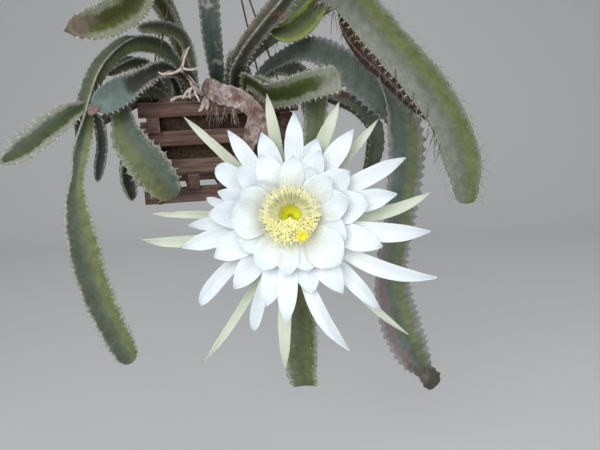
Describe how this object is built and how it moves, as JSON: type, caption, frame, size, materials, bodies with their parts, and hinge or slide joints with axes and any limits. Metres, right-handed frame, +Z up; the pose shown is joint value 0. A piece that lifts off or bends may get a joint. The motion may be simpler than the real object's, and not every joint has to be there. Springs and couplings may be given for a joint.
{
  "type": "potted selenicereus",
  "caption": "Night-blooming cactus in a hanging basket of crossed wooden slats: ribbed, spiny stems trail over the rim, and a large open white flower faces forward.",
  "frame": {"origin": "the inside of the top of the hook's crook, the point that bears on what holds the basket up, 400 mm above the middle of the basket's rim", "axes": "+Z up along the hanger, -Y the way the flower faces, +X to the right as seen from the flower's front; the basket is turned 12 degrees about Z"},
  "size_m": [0.5366, 0.492, 0.7866],
  "materials": {
    "slat_wood": "weathered reddish-brown slats, rough",
    "hanger_steel": "dark tarnished wire and rod",
    "soil": "damp dark bark and moss mix",
    "stem_green": "waxy grey-green skin with pale rib edges",
    "old_stem_brown": "corky brown bark",
    "dry_stem_tan": "dry papery tan skin",
    "petal_white": "satin white petals",
    "sepal_green": "pale yellow-green sepals and tube",
    "stamen_yellow": "powdery pale yellow",
    "stigma_orange": "waxy orange-yellow"
  },
  "bodies": {
    "root": {"slat_front_1": "slat_wood", "slat_back_1": "slat_wood", "slat_front_2": "slat_wood", "slat_back_2": "slat_wood", "slat_front_3": "slat_wood", "slat_back_3": "slat_wood", "slat_front_4": "slat_wood", "slat_back_4": "slat_wood", "slat_left_1": "slat_wood", "slat_right_1": "slat_wood", "slat_floor_1": "slat_wood", "slat_left_2": "slat_wood", "slat_right_2": "slat_wood", "slat_floor_2": "slat_wood", "slat_left_3": "slat_wood", "slat_right_3": "slat_wood", "slat_floor_3": "slat_wood", "wire_front_left": "hanger_steel", "wire_front_right": "hanger_steel", "wire_back_left": "hanger_steel", "wire_back_right": "hanger_steel", "hook": "hanger_steel", "soil": "soil", "stem_left_trail": "stem_green", "stem_left_pad": "stem_green", "stem_left_mid": "stem_green", "stem_upper_left": "stem_green", "stem_short_left": "stem_green", "stem_upright": "stem_green", "stem_rising": "stem_green", "stem_arch_right": "stem_green", "stem_spiny_right": "stem_green", "stem_right_trail": "stem_green", "stem_right_inner": "stem_green", "stem_front_hanger": "stem_green", "stem_front_pad": "stem_green", "stem_back_left": "stem_green", "stem_back_middle": "stem_green", "stem_back_right": "stem_green", "stem_left_old": "old_stem_brown", "stem_woody": "old_stem_brown", "stem_dry": "dry_stem_tan", "flower_petals": "petal_white", "flower_tube": "sepal_green", "flower_stamens": "stamen_yellow", "flower_style": "stigma_orange"}
  },
  "joints": []
}
